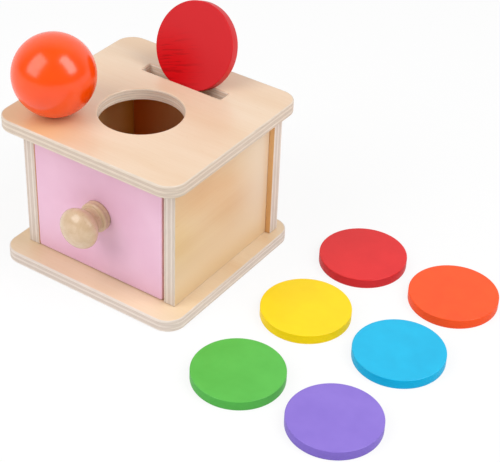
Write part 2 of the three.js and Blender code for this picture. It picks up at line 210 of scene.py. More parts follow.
def ply_edge(name, node, thickness_axis, grain, long_grain=PLY_LONG_GRAIN, end_grain=PLY_END_GRAIN):
    """The cut edge of birch plywood: plies cut along their grain pale, those cut across it greyer."""
    low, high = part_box(node)
    material, tree, coordinates = blank_material(name)
    place = add_node(tree, "ShaderNodeSeparateXYZ", {"Vector": coordinates}).outputs[thickness_axis]
    depth = add_node(tree, "ShaderNodeMapRange", {
        "Value": place, "From Min": low[thickness_axis], "From Max": high[thickness_axis],
    })
    streaks = grain_noise(
        tree, coordinates, PLY_STREAK_LENGTH, PLY_STREAK_THICKNESS, thickness_axis, detail=2,
    )
    wandering = add_node(tree, "ShaderNodeMath", {
        0: streaks, 1: PLY_WANDER, 2: depth.outputs["Result"],
    }, operation="MULTIPLY_ADD")
    layers = []
    for outer, inner in ((long_grain, end_grain), (end_grain, long_grain)):
        stops = []
        start = PLY_WANDER / 2
        for ply, share in enumerate(PLY_SHARES):
            colour = linear(inner if ply % 2 else outer)
            stops.append((start + GLUE_SHARE, colour))
            stops.append((start + share - GLUE_SHARE, colour))
            stops.append((start + share, linear(PLY_GLUE)))
            start += share
        layers.append(add_node(tree, "ShaderNodeValToRGB", {"Fac": wandering.outputs[0]}, stops[:-1]))
    normal = coordinates.node.outputs["Normal"]
    facing = add_node(tree, "ShaderNodeSeparateXYZ", {"Vector": normal}).outputs[grain]
    cut_across = add_node(tree, "ShaderNodeMath", {0: facing, 1: facing}, operation="MULTIPLY")
    plies = add_node(tree, "ShaderNodeMix", {
        MIX_SHARE: cut_across.outputs[0],
        MIX_FIRST: layers[0].outputs["Color"],
        MIX_SECOND: layers[1].outputs["Color"],
    }, data_type="RGBA")
    shade = add_node(tree, "ShaderNodeMapRange", {
        "Value": streaks, "To Min": PLY_DARKEST, "To Max": PLY_PALEST,
    })
    colour = add_node(tree, "ShaderNodeMix", {
        MIX_SHARE: 1, MIX_FIRST: plies.outputs[MIX_RESULT], MIX_SECOND: shade.outputs["Result"],
    }, data_type="RGBA", blend_type="MULTIPLY")
    relief = add_node(tree, "ShaderNodeBump", {
        "Height": streaks, "Strength": PLY_BUMP, "Distance": GRAIN_RELIEF,
    })
    dress(
        material,
        Base_Color=colour.outputs[MIX_RESULT],
        Roughness=PLY_ROUGHNESS,
        Normal=relief.outputs["Normal"],
        IOR=WOOD_IOR,
    )
    return material


def rounded_outline(bm, width, depth, corner, middle=(0, 0)):
    """Adds a flat face with round corners about a middle, from a square with sides of 1."""
    square = bmesh.ops.create_grid(bm, x_segments=1, y_segments=1, size=1 / 2)["verts"]
    bmesh.ops.scale(bm, vec=(width, depth, 1), verts=square)
    bmesh.ops.translate(bm, vec=(*middle, 0), verts=square)
    bmesh.ops.bevel(
        bm, geom=square, offset=corner, segments=CORNER_STEPS, profile=0.5, affect="VERTICES", material=-1,
    )


def thicken_board(bm, thickness, edge):
    """Gives flat faces a thickness about z = 0, with rounded rims, and marks the faces across the plies."""
    caps = bm.faces[:]
    bmesh.ops.recalc_face_normals(bm, faces=caps)
    bmesh.ops.translate(bm, vec=(0, 0, edge - thickness / 2), verts=bm.verts)
    grown = bmesh.ops.extrude_face_region(bm, geom=caps, use_keep_orig=True)["geom"]
    lifted = [part for part in grown if isinstance(part, bmesh.types.BMVert)]
    bmesh.ops.translate(bm, vec=(0, 0, thickness - 2 * edge), verts=lifted)
    bmesh.ops.recalc_face_normals(bm, faces=bm.faces)
    for face in bm.faces:
        face.material_index = FACE_MATERIAL if abs(face.normal.z) > FLAT_NORMAL else EDGE_MATERIAL
    for side in (1, -1):
        cap = [face for face in bm.faces if face.normal.z * side > CAP_NORMAL]
        for step in range(BOARD_ROUND_STEPS):
            start = QUARTER_TURN * step / BOARD_ROUND_STEPS
            end = QUARTER_TURN * (step + 1) / BOARD_ROUND_STEPS
            rim = bmesh.ops.inset_region(
                bm, faces=cap, use_boundary=True, use_even_offset=True,
                thickness=edge * (math.cos(start) - math.cos(end)),
                depth=edge * (math.sin(end) - math.sin(start)),
            )
            for face in rim["faces"]:
                face.smooth = True
                face.material_index = EDGE_MATERIAL


def to_piece(bm, name, materials):
    """A mesh object at the origin with these materials."""
    mesh = bpy.data.meshes.new(name)
    bm.to_mesh(mesh)
    bm.free()
    for material in materials:
        mesh.materials.append(material)
    piece = bpy.data.objects.new(name, mesh)
    bpy.context.scene.collection.objects.link(piece)
    return piece


def board_piece(node, body, thickness_axis, corner, edge, materials):
    """A board in a CAD node's place, with its plies along one axis."""
    low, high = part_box(node)
    size = high - low
    plan = {X: (size.z, size.y), Y: (size.x, size.z), Z: (size.x, size.y)}[thickness_axis]
    turn = {
        X: Matrix.Rotation(QUARTER_TURN, 3, "Y"),
        Y: Matrix.Rotation(QUARTER_TURN, 3, "X"),
        Z: Matrix.Identity(3),
    }[thickness_axis]
    bm = bmesh.new()
    rounded_outline(bm, *plan, corner)
    thicken_board(bm, size[thickness_axis], edge)
    bmesh.ops.rotate(bm, cent=(0, 0, 0), matrix=turn, verts=bm.verts)
    bmesh.ops.translate(bm, vec=(low + high) / 2, verts=bm.verts)
    piece = to_piece(bm, node.replace("_panel", "_board"), materials)
    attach(piece, body)
    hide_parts(node)
    return piece


# Lacquered birch: pale and creamy, with faint long streaks, a few darker flecks and a soft sheen.
base_veneer = birch_veneer("lacquered birch veneer, base", X, BASE_TONES, VENEER_FLECK, LACQUER)

# Sawn and sanded plywood: five matt bands, pale and greyer in turn, with a thin line of glue between.
base_edge = ply_edge("birch plywood edge, base", "base_panel", Z, X)
board_piece("base_panel", "box", Z, BASE_CORNER, BOARD_ROUND, [base_veneer, base_edge])


# Side panels and back panel
# Square-cut boards of the same plywood, with their edges barely broken by sandpaper.
# They are lacquered outside and bare inside, and dowelled and glued to the base, each other and the top.

PANEL_CORNER = 0.5 * MM
PANEL_ROUND = 0.4 * MM
UPRIGHT_TONES = ("#DDB686", "#E0BC8E", "#E3C297")
# Painted light: the sides' veneer turns paler toward the rear and toward the foot, in these two tones
SIDE_REAR_PAINTED_SHEEN = "#E6D0B4"
SIDE_FOOT_PAINTED_LIGHT = "#E6C69B"
INNER_TONES = ("#FCCB86", "#FFD08C", "#FFD592")
# The back's lining is a little darker than the sides', as painted shade
BACK_INNER_SHADED_TONES = ("#F2BC7E", "#F6C286", "#F9C88E")
INNER_FLECK = "#D9A266"
# Painted shade: the linings darken toward the inside corners, over these reaches
SIDE_CORNER_PAINTED_SHADE = "#DFA03A"
SIDE_PAINTED_SHADE_REACH = 24 * MM
BACK_CORNER_PAINTED_SHADE = "#E77A20"
BACK_PAINTED_SHADE_REACH = 46 * MM


def line_inside(piece, direction, material):
    """Gives the face of a board that looks one way another material."""
    piece.data.materials.append(material)
    for polygon in piece.data.polygons:
        if polygon.normal.dot(Vector(direction)) > CAP_NORMAL:
            polygon.material_index = INNER_MATERIAL


def tint(material, share, tone):
    """Mixes another tone into a material's colour, by a share that varies over the piece."""
    tree = material.node_tree
    untinted = tree.nodes["Principled BSDF"].inputs["Base Color"].links[0].from_socket
    tinted = add_node(tree, "ShaderNodeMix", {
        MIX_SHARE: share, MIX_FIRST: untinted, MIX_SECOND: linear(tone),
    }, data_type="RGBA")
    dress(material, Base_Color=tinted.outputs[MIX_RESULT])


def tint_toward(material, axis, start, end, tone):
    """Changes a veneer's tone from one place along an axis to another, and not past it."""
    tree = material.node_tree
    coordinates = add_node(tree, "ShaderNodeTexCoord").outputs["Object"]
    place = add_node(tree, "ShaderNodeSeparateXYZ", {"Vector": coordinates}).outputs[axis]
    share = add_node(tree, "ShaderNodeMapRange", {
        "Value": place, "From Min": start, "From Max": end,
    }, interpolation_type="SMOOTHSTEP")
    before_end = "LESS_THAN" if start < end else "GREATER_THAN"
    not_past = add_node(tree, "ShaderNodeMath", {0: place, 1: end}, operation=before_end)
    shown = add_node(tree, "ShaderNodeMath", {
        0: share.outputs["Result"], 1: not_past.outputs[0],
    }, operation="MULTIPLY")
    tint(material, shown.outputs[0], tone)


side_low, side_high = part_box("left_side_panel")
side_middle = (side_low + side_high) / 2
left_corner = side_high.x
right_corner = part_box("right_side_panel")[0].x
rear_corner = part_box("back_panel")[0].y

# Lacquered birch, darker and more golden than the top's; on the sides, painted light makes it paler toward the
# rear and the foot.
side_veneer = birch_veneer(
    "lacquered birch veneer, grain front to back", Y, UPRIGHT_TONES, VENEER_FLECK, LACQUER,
)
back_veneer = birch_veneer("lacquered birch veneer, grain upright", Z, UPRIGHT_TONES, VENEER_FLECK, LACQUER)
tint_toward(side_veneer, Y, side_middle.y, side_high.y, SIDE_REAR_PAINTED_SHEEN)
tint_toward(side_veneer, Z, side_middle.z, side_low.z, SIDE_FOOT_PAINTED_LIGHT)

# Bare birch inside: amber and without the lacquer's sheen, with painted shade darker on the back and deepening
# toward the corners of side and back.
side_lining = birch_veneer("bare birch veneer, side inside", Y, INNER_TONES, INNER_FLECK, NO_LACQUER)
back_lining = birch_veneer("bare birch veneer, back inside", Z, BACK_INNER_SHADED_TONES, INNER_FLECK, NO_LACQUER)
tint_toward(side_lining, Y, rear_corner - SIDE_PAINTED_SHADE_REACH, rear_corner, SIDE_CORNER_PAINTED_SHADE)
tint_toward(back_lining, X, left_corner + BACK_PAINTED_SHADE_REACH, left_corner, BACK_CORNER_PAINTED_SHADE)
tint_toward(back_lining, X, right_corner - BACK_PAINTED_SHADE_REACH, right_corner, BACK_CORNER_PAINTED_SHADE)

for side, inward in (("left", (1, 0, 0)), ("right", (-1, 0, 0))):
    node = f"{side}_side_panel"
    edge = ply_edge(f"birch plywood edge, {side} side", node, X, Y)
    board = board_piece(node, "box", X, PANEL_CORNER, PANEL_ROUND, [side_veneer, edge])
    line_inside(board, inward, side_lining)
back_edge = ply_edge("birch plywood edge, back", "back_panel", Y, Z)
back = board_piece("back_panel", "box", Y, PANEL_CORNER, PANEL_ROUND, [back_veneer, back_edge])
line_inside(back, (0, -1, 0), back_lining)


# Top panel
# A board like the base, routed with a round hole for the ball and a slot for the coins.
# The plies show on the walls of both openings, whose rims are rounded like the edges.

HOLE_CLEARANCE = 2 * MM
HOLE_STEPS = 96
SLOT_LENGTH_CLEARANCE = 5 * MM
SLOT_WIDTH_CLEARANCE = 2.5 * MM
SLOT_CORNER = 1.2 * MM
OUTER_EDGE_REACH = 5 * MM
FLAT_TONES = ("#E0C1A0", "#E3C7A9", "#E6CDB2")
TOP_LONG_GRAIN = "#E0D0BF"
TOP_END_GRAIN = "#D1BEAC"
# Painted light: the openings' walls get paler plies than the outer edges
ROUTED_PAINTED_LIGHT_LONG_GRAIN = "#FFF2E0"
ROUTED_PAINTED_LIGHT_END_GRAIN = "#F8E6CE"
# Painted light and shade: the ball's orange bounce and shadow on the top, fading out around where it stands
PAINTED_BALL_BOUNCE_TONE = "#E3BE8C"
PAINTED_BOUNCE_INNER = 10 * MM
PAINTED_BOUNCE_OUTER = 44 * MM
PAINTED_BOUNCE_FROM_LEFT = 20 * MM
PAINTED_BOUNCE_FROM_FRONT = 8 * MM


def opening_middle(name):
    """The middle of a stated opening, seen from above."""
    for opening in frame["record"]["physics"]["openings"]:
        if opening["name"] == name:
            low, high = opening["box_m"]
            return (low[0] + high[0]) / 2, (low[1] + high[1]) / 2


def share_about(tree, middle, inner, outer):
    """A share that is 1 within one radius of a point and fades out to 0 at another."""
    coordinates = add_node(tree, "ShaderNodeTexCoord").outputs["Object"]
    away = add_node(tree, "ShaderNodeVectorMath", {0: coordinates, 1: middle}, operation="DISTANCE")
    return add_node(tree, "ShaderNodeMapRange", {
        "Value": away.outputs["Value"], "From Min": outer, "From Max": inner,
    }, interpolation_type="SMOOTHSTEP").outputs["Result"]


top_low, top_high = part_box("top_panel")
top_size = top_high - top_low
top_middle = (top_low + top_high) / 2
ball_low, ball_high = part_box("ball")
ball_diameter = ball_high.z - ball_low.z
coin_low, coin_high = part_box("coin_red")
coin_diameter = coin_high.x - coin_low.x
coin_thickness = coin_high.z - coin_low.z
slot_length = coin_diameter + SLOT_LENGTH_CLEARANCE
slot_width = coin_thickness + SLOT_WIDTH_CLEARANCE

bm = bmesh.new()
rounded_outline(bm, top_size.x, top_size.y, BASE_CORNER, (top_middle.x, top_middle.y))
rounded_outline(bm, slot_length, slot_width, SLOT_CORNER, opening_middle("coin_slot_lower"))
hole = bmesh.ops.create_circle(bm, segments=HOLE_STEPS, radius=(ball_diameter + HOLE_CLEARANCE) / 2)
bmesh.ops.translate(bm, vec=(*opening_middle("ball_hole"), 0), verts=hole["verts"])
bmesh.ops.delete(bm, geom=bm.faces[:], context="FACES_ONLY")
bmesh.ops.triangle_fill(bm, use_beauty=True, use_dissolve=False, edges=bm.edges[:])
thicken_board(bm, top_size.z, BOARD_ROUND)
for face in bm.faces:
    place = face.calc_center_median()
    from_side = min(place.x - top_low.x, top_high.x - place.x)
    from_end = min(place.y - top_low.y, top_high.y - place.y)
    if face.material_index == EDGE_MATERIAL and min(from_side, from_end) > OUTER_EDGE_REACH:
        face.material_index = INNER_MATERIAL if abs(face.normal.z) < FLAT_NORMAL else FACE_MATERIAL
bmesh.ops.translate(bm, vec=(0, 0, top_middle.z), verts=bm.verts)

# Lacquered birch: creamy with a soft sheen, and a painted orange bounce and shadow from the ball at the front left
# corner.
top_veneer = birch_veneer(
    "lacquered birch veneer, grain left to right", X, FLAT_TONES, VENEER_FLECK, LACQUER,
)
painted_bounce_middle = (top_low.x + PAINTED_BOUNCE_FROM_LEFT, top_low.y + PAINTED_BOUNCE_FROM_FRONT, top_high.z)
painted_bounce_share = share_about(top_veneer.node_tree, painted_bounce_middle, PAINTED_BOUNCE_INNER, PAINTED_BOUNCE_OUTER)
tint(top_veneer, painted_bounce_share, PAINTED_BALL_BOUNCE_TONE)

# Plywood cut by the saw outside and by the router in the openings, whose walls have paler plies as painted light.
top_edge = ply_edge("birch plywood edge, top", "top_panel", Z, X, TOP_LONG_GRAIN, TOP_END_GRAIN)
routed_wall_painted_light = ply_edge(
    "routed birch plywood with painted light, openings", "top_panel", Z, X, ROUTED_PAINTED_LIGHT_LONG_GRAIN, ROUTED_PAINTED_LIGHT_END_GRAIN,
)
top_board = to_piece(bm, "top_board", [top_veneer, top_edge, routed_wall_painted_light])
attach(top_board, "box")
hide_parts("top_panel")


# Dowels
# Plain birch pegs cut from rod, 4 mm thick in the box and 3 mm in the drawer.
# They are glued across the joints between the panels and behind the drawer's front, and none of them shows.

DOWEL_COLOUR = "#E6CFA8"
DOWEL_SHADE = "#D3B587"
DOWEL_GRAIN_ACROSS = 0.6
DOWEL_GRAIN_ALONG = 12
DOWEL_SHADE_STOP = 0.35
DOWEL_COLOUR_STOP = 0.65
DOWEL_ROUGHNESS = 0.7


def coat_nodes(words, material):
    """Gives the CAD nodes with these words in their names a material."""
    for name, node in frame["nodes"].items():
        if words in name:
            node.data.materials.clear()
            node.data.materials.append(material)


# Raw birch rod: pale and matt, with short darker pores.
dowel_wood, tree, coordinates = blank_material("birch dowel")
pores = grain_noise(tree, coordinates, DOWEL_GRAIN_ACROSS, DOWEL_GRAIN_ALONG, Z, detail=2)
dowel_tone = add_node(tree, "ShaderNodeValToRGB", {"Fac": pores}, [
    (DOWEL_SHADE_STOP, linear(DOWEL_SHADE)), (DOWEL_COLOUR_STOP, linear(DOWEL_COLOUR)),
])
dress(dowel_wood, Base_Color=dowel_tone.outputs["Color"], Roughness=DOWEL_ROUGHNESS, IOR=WOOD_IOR)
coat_nodes("_dowel_", dowel_wood)


# Drawer front
# An 8 mm board sprayed with satin pink paint all over, its edges eased before painting.
# It closes the box between the sides and carries the knob.

FRONT_CORNER = 1.4 * MM
FRONT_ROUND = 0.7 * MM
PINK = "#EBBFD6"
PINK_SHADE = "#E4B4CD"
PINK_CLOUD = 28
PAINT_PEEL = 1.6
PAINT_RELIEF = 0.02 * MM
PINK_SHEEN = 0.5
CLOUD_SHADE_STOP = 0.3
CLOUD_COLOUR_STOP = 0.7
PAINT_SMOOTHEST = 0.38
PAINT_ROUGHEST = 0.46
PAINT_BUMP = 0.5
PAINT_IOR = 1.5


def satin_paint(name, colour, shade, cloud, grain_across, grain_along, grain, relief, sheen):
    """Satin paint on wood: an even colour, clouded a little, over the faint lines of the grain below."""
    material, tree, coordinates = blank_material(name)
    clouds = grain_noise(tree, coordinates, cloud, cloud, grain, detail=2)
    tone = add_node(tree, "ShaderNodeValToRGB", {"Fac": clouds}, [
        (CLOUD_SHADE_STOP, linear(shade)), (CLOUD_COLOUR_STOP, linear(colour)),
    ])
    lines = grain_noise(tree, coordinates, grain_across, grain_along, grain, detail=3)
    bump = add_node(tree, "ShaderNodeBump", {"Height": lines, "Strength": PAINT_BUMP, "Distance": relief})
    gloss = add_node(tree, "ShaderNodeMapRange", {
        "Value": clouds, "To Min": PAINT_SMOOTHEST, "To Max": PAINT_ROUGHEST,
    })
    dress(
        material,
        Base_Color=tone.outputs["Color"],
        Roughness=gloss.outputs["Result"],
        Normal=bump.outputs["Normal"],
        IOR=PAINT_IOR,
        Specular_IOR_Level=sheen,
    )
    return material


# Sprayed paint: a flat pastel with a soft broad sheen and a very fine orange peel.
pink_paint = satin_paint(
    "satin pink paint", PINK, PINK_SHADE, PINK_CLOUD, PAINT_PEEL, PAINT_PEEL, X, PAINT_RELIEF, PINK_SHEEN,
)
board_piece("drawer_front", "drawer", Y, FRONT_CORNER, FRONT_ROUND, [pink_paint, pink_paint])


# Drawer walls and bottom
# Birch plywood: two grooved sides, a thin back pinned between them and a bottom in the grooves.
# The back has the top's lacquered veneer and the rest is bare. They show when the drawer is pulled out.

WALL_CORNER = 0.5 * MM
WALL_ROUND = 0.5 * MM
BOTTOM_ROUND = 0.2 * MM

# Bare birch: as pale as the top, but without the lacquer's sheen.
tray_veneer = birch_veneer(
    "bare birch veneer, grain front to back", Y, FLAT_TONES, VENEER_FLECK, NO_LACQUER,
)
for side in ("left", "right"):
    node = f"drawer_{side}_side"
    edge = ply_edge(f"birch plywood edge, drawer {side} side", node, X, Y)
    board_piece(node, "drawer", X, WALL_CORNER, WALL_ROUND, [tray_veneer, edge])
wall_edge = ply_edge("birch plywood edge, drawer back", "drawer_back", Y, X)
board_piece("drawer_back", "drawer", Y, WALL_CORNER, WALL_ROUND, [top_veneer, wall_edge])
bottom_edge = ply_edge("birch plywood edge, drawer bottom", "drawer_bottom", Z, Y)
bottom_materials = [tray_veneer, bottom_edge]
board_piece("drawer_bottom", "drawer", Z, WALL_CORNER, BOTTOM_ROUND, bottom_materials)


# Pins of the drawer
# Headless steel pins, 1.2 mm thick, cut from drawn wire.
# They are driven through the drawer's sides into the ends of its back.

STEEL = "#B9B9B5"
STEEL_SHADE = "#9C9C98"
STEEL_GRAIN_ACROSS = 0.3
STEEL_GRAIN_ALONG = 4
STEEL_SHADE_STOP = 0.35
STEEL_COLOUR_STOP = 0.65
STEEL_SMOOTHEST = 0.25
STEEL_ROUGHEST = 0.42

# Drawn wire: grey metal, with its gloss broken by fine scratches along it.
drawn_steel, tree, coordinates = blank_material("drawn steel")
scratches = grain_noise(tree, coordinates, STEEL_GRAIN_ACROSS, STEEL_GRAIN_ALONG, X, detail=2)
steel_tone = add_node(tree, "ShaderNodeValToRGB", {"Fac": scratches}, [
    (STEEL_SHADE_STOP, linear(STEEL_SHADE)), (STEEL_COLOUR_STOP, linear(STEEL)),
])
steel_gloss = add_node(tree, "ShaderNodeMapRange", {
    "Value": scratches, "To Min": STEEL_SMOOTHEST, "To Max": STEEL_ROUGHEST,
})
dress(
    drawn_steel,
    Base_Color=steel_tone.outputs["Color"],
    Metallic=1.0,
    Roughness=steel_gloss.outputs["Result"],
)
coat_nodes("drawer_pin_", drawn_steel)


# Knob
# Turned from beech and lacquered: a collar with a cut groove, a waisted neck and a domed head.
# It sits on the drawer's front and is drawn tight by a screw from inside.

COLLAR_RADIUS = 9.7 * MM
COLLAR_THICKNESS = 5 * MM
COLLAR_ROUND = 1.2 * MM
BEAD_GROOVE_AT = 2.4 * MM
BEAD_GROOVE_DEPTH = 0.5 * MM
NECK_RADIUS = 7.4 * MM
NECK_AT = 8 * MM
NECK_PULL = 1.6 * MM
HEAD_AT = 17.4 * MM
HEAD_PULL = 4 * MM
KNOB_SPIN_STEPS = 64
KNOB_CURVE_STEPS = 10
ROUND_PULL = 0.5523  # the pull at which a curve runs as a quarter circle
SAME_POINT = 0.001 * MM
BEECH_LIGHT = "#D8BB9A"
BEECH_DARK = "#CFB08C"
BEECH_RAY = "#BB9672"
BEECH_RING_ACROSS = 4
BEECH_RING_ALONG = 90
BEECH_RAY_ACROSS = 0.5
BEECH_RAY_ALONG = 3
RING_DARK_STOP = 0.32
RING_LIGHT_STOP = 0.68
RAY_START = 0.62
RAY_FULL = 0.74
RAY_SHARE = 0.45
BEECH_BUMP = 0.2
BEECH_ROUGHNESS = 0.4
KNOB_LACQUER = 0.8
KNOB_LACQUER_ROUGHNESS = 0.11

knob_low, knob_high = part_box("drawer_knob")
knob_middle = (knob_low + knob_high) / 2
knob_length = knob_high.y - knob_low.y
head_radius = (knob_high.z - knob_low.z) / 2


def curve_points(start, start_pull, end_pull, end):
    """Points along a curve in the plane of the profile, as radius and distance from the drawer."""
    corners = [Vector((*point, 0)) for point in (start, start_pull, end_pull, end)]
    return [(point.x, point.y) for point in interpolate_bezier(*corners, KNOB_CURVE_STEPS)]


def turned(profile, steps):
    """A closed shape turned about the Y axis, from a profile of radii and places along it."""
    bm = bmesh.new()
    rim = [bm.verts.new((radius, along, 0)) for radius, along in profile]
    for start, end in zip(rim, rim[1:]):
        bm.edges.new((start, end))
    bmesh.ops.spin(
        bm, geom=bm.verts[:] + bm.edges[:], cent=(0, 0, 0), axis=(0, 1, 0), angle=2 * math.pi,
        steps=steps, use_merge=True,
    )
    bmesh.ops.remove_doubles(bm, verts=bm.verts, dist=SAME_POINT)
    bmesh.ops.recalc_face_normals(bm, faces=bm.faces)
    return bm


profile = [
    (0, 0),
    (COLLAR_RADIUS, 0),
    (COLLAR_RADIUS, BEAD_GROOVE_AT - BEAD_GROOVE_DEPTH),
    (COLLAR_RADIUS - BEAD_GROOVE_DEPTH, BEAD_GROOVE_AT),
    (COLLAR_RADIUS, BEAD_GROOVE_AT + BEAD_GROOVE_DEPTH),
]
profile += curve_points(
    (COLLAR_RADIUS, COLLAR_THICKNESS - COLLAR_ROUND),
    (COLLAR_RADIUS, COLLAR_THICKNESS - COLLAR_ROUND * (1 - ROUND_PULL)),
    (COLLAR_RADIUS - COLLAR_ROUND * (1 - ROUND_PULL), COLLAR_THICKNESS),
    (COLLAR_RADIUS - COLLAR_ROUND, COLLAR_THICKNESS),
)
profile += curve_points(
    (COLLAR_RADIUS - COLLAR_ROUND, COLLAR_THICKNESS),
    (NECK_RADIUS, COLLAR_THICKNESS),
    (NECK_RADIUS, COLLAR_THICKNESS),
    (NECK_RADIUS, NECK_AT),
)[1:]
profile += curve_points(
    (NECK_RADIUS, NECK_AT),
    (NECK_RADIUS, NECK_AT + NECK_PULL),
    (head_radius, HEAD_AT - HEAD_PULL),
    (head_radius, HEAD_AT),
)[1:]
dome = knob_length - HEAD_AT
profile += curve_points(
    (head_radius, HEAD_AT),
    (head_radius, HEAD_AT + dome * ROUND_PULL),
    (head_radius * ROUND_PULL, knob_length),
    (0, knob_length),
)[1:]
bm = turned([(radius, -distance) for radius, distance in profile], KNOB_SPIN_STEPS)
for face in bm.faces:
    face.smooth = True
bmesh.ops.translate(bm, vec=(knob_middle.x, knob_high.y, knob_middle.z), verts=bm.verts)

# Turned beech: tan, with faint rings and short darker rays, under a clear lacquer with small sharp lights.
beech, tree, coordinates = blank_material("lacquered turned beech")
rings = grain_noise(tree, coordinates, BEECH_RING_ACROSS, BEECH_RING_ALONG, Y, detail=2)
rays = grain_noise(tree, coordinates, BEECH_RAY_ACROSS, BEECH_RAY_ALONG, Y, detail=1)
ring_tone = add_node(tree, "ShaderNodeValToRGB", {"Fac": rings}, [
    (RING_DARK_STOP, linear(BEECH_DARK)), (RING_LIGHT_STOP, linear(BEECH_LIGHT)),
])
ray = add_node(tree, "ShaderNodeMapRange", {
    "Value": rays, "From Min": RAY_START, "From Max": RAY_FULL, "To Max": RAY_SHARE,
})
beech_colour = add_node(tree, "ShaderNodeMix", {
    MIX_SHARE: ray.outputs["Result"], MIX_FIRST: ring_tone.outputs["Color"], MIX_SECOND: linear(BEECH_RAY),
}, data_type="RGBA")
beech_relief = add_node(tree, "ShaderNodeBump", {
    "Height": rings, "Strength": BEECH_BUMP, "Distance": GRAIN_RELIEF,
})
dress(
    beech,
    Base_Color=beech_colour.outputs[MIX_RESULT],
    Roughness=BEECH_ROUGHNESS,
    Normal=beech_relief.outputs["Normal"],
    IOR=WOOD_IOR,
    Coat_Weight=KNOB_LACQUER,
    Coat_Roughness=KNOB_LACQUER_ROUGHNESS,
)
knob = to_piece(bm, "turned_knob", [beech])
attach(knob, "drawer")
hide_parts("drawer_knob")


# Screw of the knob
# A pan-head screw with a cross recess in its head, of the same drawn steel as the pins.
# It goes through the drawer's front from inside and holds the knob.

SCREW_RADIUS = 1.7 * MM
SCREW_HEAD_HEIGHT = 2.2 * MM
SCREW_SHOULDER = 0.9 * SCREW_HEAD_HEIGHT
SCREW_TOP = 0.99 * SCREW_HEAD_HEIGHT
SCREW_TIP = 2.5 * MM
SCREW_SPIN_STEPS = 48
RECESS_ARM = 0.55 * MM
RECESS_REACH = 1.9 * MM
RECESS_DEPTH = 1.2 * MM

screw_low, screw_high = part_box("knob_screw")
screw_middle = (screw_low + screw_high) / 2
screw_head_radius = (screw_high.x - screw_low.x) / 2
shank_length = screw_high.y - screw_low.y - SCREW_HEAD_HEIGHT
bm = turned([
    (0, SCREW_HEAD_HEIGHT),
    (RECESS_REACH, SCREW_HEAD_HEIGHT),
    (screw_head_radius - SCREW_HEAD_HEIGHT / 2, SCREW_SHOULDER),
    (screw_head_radius, SCREW_HEAD_HEIGHT / 2),
    (screw_head_radius, 0),
    (SCREW_RADIUS, 0),
    (SCREW_RADIUS, SCREW_TIP - shank_length),
    (0, -shank_length),
], SCREW_SPIN_STEPS)
for direction in ((1, 0, 0), (0, 0, 1)):
    for offset in (-RECESS_ARM, RECESS_ARM):
        head_top = [face for face in bm.faces if face.calc_center_median().y > SCREW_TOP]
        cut_geometry = head_top + list({edge for face in head_top for edge in face.edges})
        cut_geometry += list({vert for face in head_top for vert in face.verts})
        bmesh.ops.bisect_plane(
            bm, geom=cut_geometry, plane_co=Vector(direction) * offset, plane_no=direction,
        )
recess = []
for face in bm.faces:
    place = face.calc_center_median()
    in_arm = abs(place.x) < RECESS_ARM or abs(place.z) < RECESS_ARM
    if place.y > SCREW_TOP and in_arm:
        recess.append(face)
grown = bmesh.ops.extrude_face_region(bm, geom=recess)["geom"]
bmesh.ops.delete(bm, geom=recess, context="FACES")
sunk = [part for part in grown if isinstance(part, bmesh.types.BMVert)]
bmesh.ops.translate(bm, vec=(0, -RECESS_DEPTH, 0), verts=sunk)
bmesh.ops.recalc_face_normals(bm, faces=bm.faces)
bmesh.ops.translate(
    bm, vec=(screw_middle.x, screw_high.y - SCREW_HEAD_HEIGHT, screw_middle.z), verts=bm.verts,
)
screw = to_piece(bm, "knob_fixing_screw", [drawn_steel])
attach(screw, "drawer")
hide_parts("knob_screw")


# Ball
# A turned wooden ball, 50 mm across, dipped in orange lacquer with a high gloss.
# It rests on the top beside the hole.

BALL_SEGMENTS = 96
BALL_RINGS = 64
BALL_ORANGE = "#FC5000"
BALL_SHADE = "#F64900"
BALL_CLOUD = 18
BALL_PEEL = 2.4
BALL_RELIEF = 0.01 * MM
BALL_BUMP = 0.2
BALL_ROUGHNESS = 0.21
BALL_GLOSS = 0.6

ball_middle = (ball_low + ball_high) / 2
bm = bmesh.new()
bmesh.ops.create_uvsphere(bm, u_segments=BALL_SEGMENTS, v_segments=BALL_RINGS, radius=ball_diameter / 2)
for face in bm.faces:
    face.smooth = True
bmesh.ops.translate(bm, vec=ball_middle, verts=bm.verts)

# Dipped lacquer: a strong, even orange with a faint orange peel, which mirrors the lights as soft windows.
orange_lacquer, tree, coordinates = blank_material("high-gloss orange lacquer")
clouds = grain_noise(tree, coordinates, BALL_CLOUD, BALL_CLOUD, Z, detail=2)
ball_tone = add_node(tree, "ShaderNodeValToRGB", {"Fac": clouds}, [
    (CLOUD_SHADE_STOP, linear(BALL_SHADE)), (CLOUD_COLOUR_STOP, linear(BALL_ORANGE)),
])
peel = grain_noise(tree, coordinates, BALL_PEEL, BALL_PEEL, Z, detail=1)
ball_relief = add_node(tree, "ShaderNodeBump", {
    "Height": peel, "Strength": BALL_BUMP, "Distance": BALL_RELIEF,
})
dress(
    orange_lacquer,
    Base_Color=ball_tone.outputs["Color"],
    Roughness=BALL_ROUGHNESS,
    Normal=ball_relief.outputs["Normal"],
    IOR=PAINT_IOR,
    Specular_IOR_Level=BALL_GLOSS,
)
ball = to_piece(bm, "lacquered_ball", [orange_lacquer])
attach(ball, "ball")
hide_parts("ball")


# Coins
# Seven discs of wood, 55 by 6.4 mm, with their rims eased and a coat of satin paint all over.
# Six lie loose beside the box, and a red one leans back in the slot.

COIN_SEGMENTS = 128
COIN_ROUND = 0.5 * MM
COIN_ROUND_STEPS = 4
COIN_CAP_NORMAL = 0.99
COIN_CLOUD = 14
COIN_GRAIN_ACROSS = 0.9
COIN_GRAIN_ALONG = 18
COIN_RELIEF = 0.04 * MM
FACE_SHEEN = 0.4
RIM_SHEEN = 0.1

